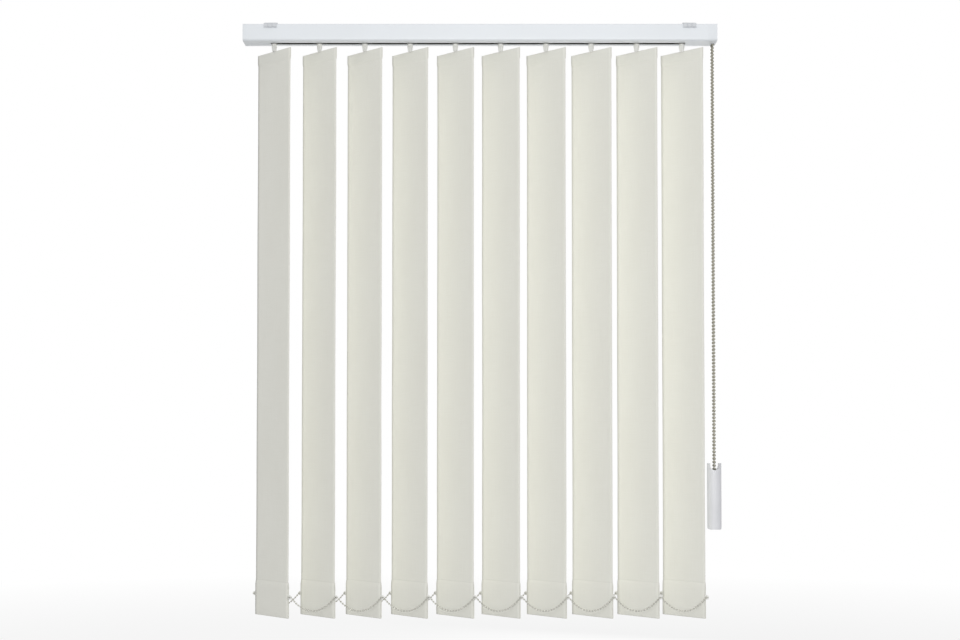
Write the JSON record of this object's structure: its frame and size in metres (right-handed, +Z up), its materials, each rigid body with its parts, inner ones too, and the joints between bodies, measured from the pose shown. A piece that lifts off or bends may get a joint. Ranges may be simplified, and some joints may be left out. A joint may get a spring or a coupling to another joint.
{
  "type": "vertical blind",
  "caption": "Vertical blind: fabric louvres hang from a white headrail, tilt by a bead chain and stack to one side, with ball chains along their bottom edges.",
  "frame": {"origin": "midway between the two bracket screws, on the face that the brackets are screwed to", "axes": "+X along the rail towards the control end, -Y towards the room, +Z up"},
  "size_m": [0.8407, 0.0726, 1.0422],
  "materials": {
    "rail_paint": "satin",
    "bracket_metal": "satin",
    "end_plastic": "satin",
    "carrier_plastic": "matte",
    "worm_plastic": "matte",
    "stem_plastic": "satin",
    "lug_plastic": "matte",
    "weight_plastic": "satin",
    "rod_metal": "mill",
    "chain_metal": "nickel plated",
    "fine_chain_metal": "nickel plated",
    "louvre_fabric": "fine plain weave"
  },
  "bodies": {
    "rail": {"headrail": "rail_paint", "brackets": "bracket_metal", "idle_end_cap": "end_plastic", "control_housing": "end_plastic", "control_chain": "chain_metal", "chain_weight": "weight_plastic", "carrier_10": "carrier_plastic"},
    "drive": {"tilt_rod": "rod_metal", "chain_wheel": "end_plastic"},
    "truck_01": {"carrier_01": "carrier_plastic"},
    "truck_02": {"carrier_02": "carrier_plastic"},
    "truck_03": {"carrier_03": "carrier_plastic"},
    "truck_04": {"carrier_04": "carrier_plastic"},
    "truck_05": {"carrier_05": "carrier_plastic"},
    "truck_06": {"carrier_06": "carrier_plastic"},
    "truck_07": {"carrier_07": "carrier_plastic"},
    "truck_08": {"carrier_08": "carrier_plastic"},
    "truck_09": {"carrier_09": "carrier_plastic"},
    "vane_01": {"stem_01": "stem_plastic", "louvre_01": "louvre_fabric", "weight_01": "lug_plastic"},
    "drive_worm_01": {"worm_01": "worm_plastic"},
    "vane_02": {"stem_02": "stem_plastic", "louvre_02": "louvre_fabric", "weight_02": "lug_plastic"},
    "drive_worm_02": {"worm_02": "worm_plastic"},
    "vane_03": {"stem_03": "stem_plastic", "louvre_03": "louvre_fabric", "weight_03": "lug_plastic"},
    "drive_worm_03": {"worm_03": "worm_plastic"},
    "vane_04": {"stem_04": "stem_plastic", "louvre_04": "louvre_fabric", "weight_04": "lug_plastic"},
    "drive_worm_04": {"worm_04": "worm_plastic"},
    "vane_05": {"stem_05": "stem_plastic", "louvre_05": "louvre_fabric", "weight_05": "lug_plastic"},
    "drive_worm_05": {"worm_05": "worm_plastic"},
    "vane_06": {"stem_06": "stem_plastic", "louvre_06": "louvre_fabric", "weight_06": "lug_plastic"},
    "drive_worm_06": {"worm_06": "worm_plastic"},
    "vane_07": {"stem_07": "stem_plastic", "louvre_07": "louvre_fabric", "weight_07": "lug_plastic"},
    "drive_worm_07": {"worm_07": "worm_plastic"},
    "vane_08": {"stem_08": "stem_plastic", "louvre_08": "louvre_fabric", "weight_08": "lug_plastic"},
    "drive_worm_08": {"worm_08": "worm_plastic"},
    "vane_09": {"stem_09": "stem_plastic", "louvre_09": "louvre_fabric", "weight_09": "lug_plastic"},
    "drive_worm_09": {"worm_09": "worm_plastic"},
    "vane_10": {"stem_10": "stem_plastic", "louvre_10": "louvre_fabric", "weight_10": "lug_plastic"},
    "drive_worm_10": {"worm_10": "worm_plastic"},
    "room_chain": {"front_chain": "fine_chain_metal"},
    "window_chain": {"back_chain": "fine_chain_metal"}
  },
  "joints": [
    {"name": "traverse", "type": "slide", "parent": "rail", "child": "truck_01", "axis": [1, 0, 0], "range_m": [0, 0.486], "deforming": ["front_chain", "back_chain"]},
    {"name": "traverse_02", "type": "slide", "parent": "rail", "child": "truck_02", "axis": [1, 0, 0], "range_m": [0, 0.432]},
    {"name": "traverse_03", "type": "slide", "parent": "rail", "child": "truck_03", "axis": [1, 0, 0], "range_m": [0, 0.378]},
    {"name": "traverse_04", "type": "slide", "parent": "rail", "child": "truck_04", "axis": [1, 0, 0], "range_m": [0, 0.324]},
    {"name": "traverse_05", "type": "slide", "parent": "rail", "child": "truck_05", "axis": [1, 0, 0], "range_m": [0, 0.27]},
    {"name": "traverse_06", "type": "slide", "parent": "rail", "child": "truck_06", "axis": [1, 0, 0], "range_m": [0, 0.216]},
    {"name": "traverse_07", "type": "slide", "parent": "rail", "child": "truck_07", "axis": [1, 0, 0], "range_m": [0, 0.162]},
    {"name": "traverse_08", "type": "slide", "parent": "rail", "child": "truck_08", "axis": [1, 0, 0], "range_m": [0, 0.108]},
    {"name": "traverse_09", "type": "slide", "parent": "rail", "child": "truck_09", "axis": [1, 0, 0], "range_m": [0, 0.054]},
    {"name": "tilt", "type": "hinge", "parent": "rail", "child": "vane_10", "pos_m": [0.3565, 0, -0.035], "axis": [0, 0, -1], "range_deg": [-31, 117]},
    {"name": "tilt_01", "type": "hinge", "parent": "truck_01", "child": "vane_01", "pos_m": [-0.3635, 0, -0.035], "axis": [0, 0, -1], "range_deg": [-31, 117]},
    {"name": "tilt_02", "type": "hinge", "parent": "truck_02", "child": "vane_02", "pos_m": [-0.2835, 0, -0.035], "axis": [0, 0, -1], "range_deg": [-31, 117]},
    {"name": "tilt_03", "type": "hinge", "parent": "truck_03", "child": "vane_03", "pos_m": [-0.2035, 0, -0.035], "axis": [0, 0, -1], "range_deg": [-31, 117]},
    {"name": "tilt_04", "type": "hinge", "parent": "truck_04", "child": "vane_04", "pos_m": [-0.1235, 0, -0.035], "axis": [0, 0, -1], "range_deg": [-31, 117]},
    {"name": "tilt_05", "type": "hinge", "parent": "truck_05", "child": "vane_05", "pos_m": [-0.0435, 0, -0.035], "axis": [0, 0, -1], "range_deg": [-31, 117]},
    {"name": "tilt_06", "type": "hinge", "parent": "truck_06", "child": "vane_06", "pos_m": [0.0365, 0, -0.035], "axis": [0, 0, -1], "range_deg": [-31, 117]},
    {"name": "tilt_07", "type": "hinge", "parent": "truck_07", "child": "vane_07", "pos_m": [0.1165, 0, -0.035], "axis": [0, 0, -1], "range_deg": [-31, 117]},
    {"name": "tilt_08", "type": "hinge", "parent": "truck_08", "child": "vane_08", "pos_m": [0.1965, 0, -0.035], "axis": [0, 0, -1], "range_deg": [-31, 117]},
    {"name": "tilt_09", "type": "hinge", "parent": "truck_09", "child": "vane_09", "pos_m": [0.2765, 0, -0.035], "axis": [0, 0, -1], "range_deg": [-31, 117]},
    {"name": "rod_turn", "type": "hinge", "parent": "rail", "child": "drive", "pos_m": [0, 0.0091, -0.017], "axis": [1, 0, 0], "range_deg": [-372, 1404], "deforming": ["control_chain"]},
    {"name": "worm_turn_01", "type": "hinge", "parent": "truck_01", "child": "drive_worm_01", "pos_m": [-0.3635, 0.0091, -0.017], "axis": [1, 0, 0], "range_deg": [-372, 1404]},
    {"name": "worm_turn_02", "type": "hinge", "parent": "truck_02", "child": "drive_worm_02", "pos_m": [-0.2835, 0.0091, -0.017], "axis": [1, 0, 0], "range_deg": [-372, 1404]},
    {"name": "worm_turn_03", "type": "hinge", "parent": "truck_03", "child": "drive_worm_03", "pos_m": [-0.2035, 0.0091, -0.017], "axis": [1, 0, 0], "range_deg": [-372, 1404]},
    {"name": "worm_turn_04", "type": "hinge", "parent": "truck_04", "child": "drive_worm_04", "pos_m": [-0.1235, 0.0091, -0.017], "axis": [1, 0, 0], "range_deg": [-372, 1404]},
    {"name": "worm_turn_05", "type": "hinge", "parent": "truck_05", "child": "drive_worm_05", "pos_m": [-0.0435, 0.0091, -0.017], "axis": [1, 0, 0], "range_deg": [-372, 1404]},
    {"name": "worm_turn_06", "type": "hinge", "parent": "truck_06", "child": "drive_worm_06", "pos_m": [0.0365, 0.0091, -0.017], "axis": [1, 0, 0], "range_deg": [-372, 1404]},
    {"name": "worm_turn_07", "type": "hinge", "parent": "truck_07", "child": "drive_worm_07", "pos_m": [0.1165, 0.0091, -0.017], "axis": [1, 0, 0], "range_deg": [-372, 1404]},
    {"name": "worm_turn_08", "type": "hinge", "parent": "truck_08", "child": "drive_worm_08", "pos_m": [0.1965, 0.0091, -0.017], "axis": [1, 0, 0], "range_deg": [-372, 1404]},
    {"name": "worm_turn_09", "type": "hinge", "parent": "truck_09", "child": "drive_worm_09", "pos_m": [0.2765, 0.0091, -0.017], "axis": [1, 0, 0], "range_deg": [-372, 1404]},
    {"name": "worm_turn_10", "type": "hinge", "parent": "rail", "child": "drive_worm_10", "pos_m": [0.3565, 0.0091, -0.017], "axis": [1, 0, 0], "range_deg": [-372, 1404]},
    {"name": "room_chain_turn", "type": "hinge", "parent": "vane_10", "child": "room_chain", "pos_m": [0.39139, -0.03253, -1.0052], "axis": [0, 0, -1], "range_deg": [-117, 31]},
    {"name": "window_chain_turn", "type": "hinge", "parent": "vane_10", "child": "window_chain", "pos_m": [0.32161, 0.03253, -1.0052], "axis": [0, 0, -1], "range_deg": [-117, 31]}
  ],
  "couplings": [
    {"joint": "traverse_02", "follows": "traverse", "ratio": 0.88889},
    {"joint": "traverse_03", "follows": "traverse", "ratio": 0.77778},
    {"joint": "traverse_04", "follows": "traverse", "ratio": 0.66667},
    {"joint": "traverse_05", "follows": "traverse", "ratio": 0.55556},
    {"joint": "traverse_06", "follows": "traverse", "ratio": 0.44444},
    {"joint": "traverse_07", "follows": "traverse", "ratio": 0.33333},
    {"joint": "traverse_08", "follows": "traverse", "ratio": 0.22222},
    {"joint": "traverse_09", "follows": "traverse", "ratio": 0.11111},
    {"joint": "tilt_01", "follows": "tilt", "ratio": 1},
    {"joint": "tilt_02", "follows": "tilt", "ratio": 1},
    {"joint": "tilt_03", "follows": "tilt", "ratio": 1},
    {"joint": "tilt_04", "follows": "tilt", "ratio": 1},
    {"joint": "tilt_05", "follows": "tilt", "ratio": 1},
    {"joint": "tilt_06", "follows": "tilt", "ratio": 1},
    {"joint": "tilt_07", "follows": "tilt", "ratio": 1},
    {"joint": "tilt_08", "follows": "tilt", "ratio": 1},
    {"joint": "tilt_09", "follows": "tilt", "ratio": 1},
    {"joint": "rod_turn", "follows": "tilt", "ratio": 12},
    {"joint": "worm_turn_01", "follows": "tilt", "ratio": 12},
    {"joint": "worm_turn_02", "follows": "tilt", "ratio": 12},
    {"joint": "worm_turn_03", "follows": "tilt", "ratio": 12},
    {"joint": "worm_turn_04", "follows": "tilt", "ratio": 12},
    {"joint": "worm_turn_05", "follows": "tilt", "ratio": 12},
    {"joint": "worm_turn_06", "follows": "tilt", "ratio": 12},
    {"joint": "worm_turn_07", "follows": "tilt", "ratio": 12},
    {"joint": "worm_turn_08", "follows": "tilt", "ratio": 12},
    {"joint": "worm_turn_09", "follows": "tilt", "ratio": 12},
    {"joint": "worm_turn_10", "follows": "tilt", "ratio": 12},
    {"joint": "room_chain_turn", "follows": "tilt", "ratio": -1},
    {"joint": "window_chain_turn", "follows": "tilt", "ratio": -1}
  ]
}
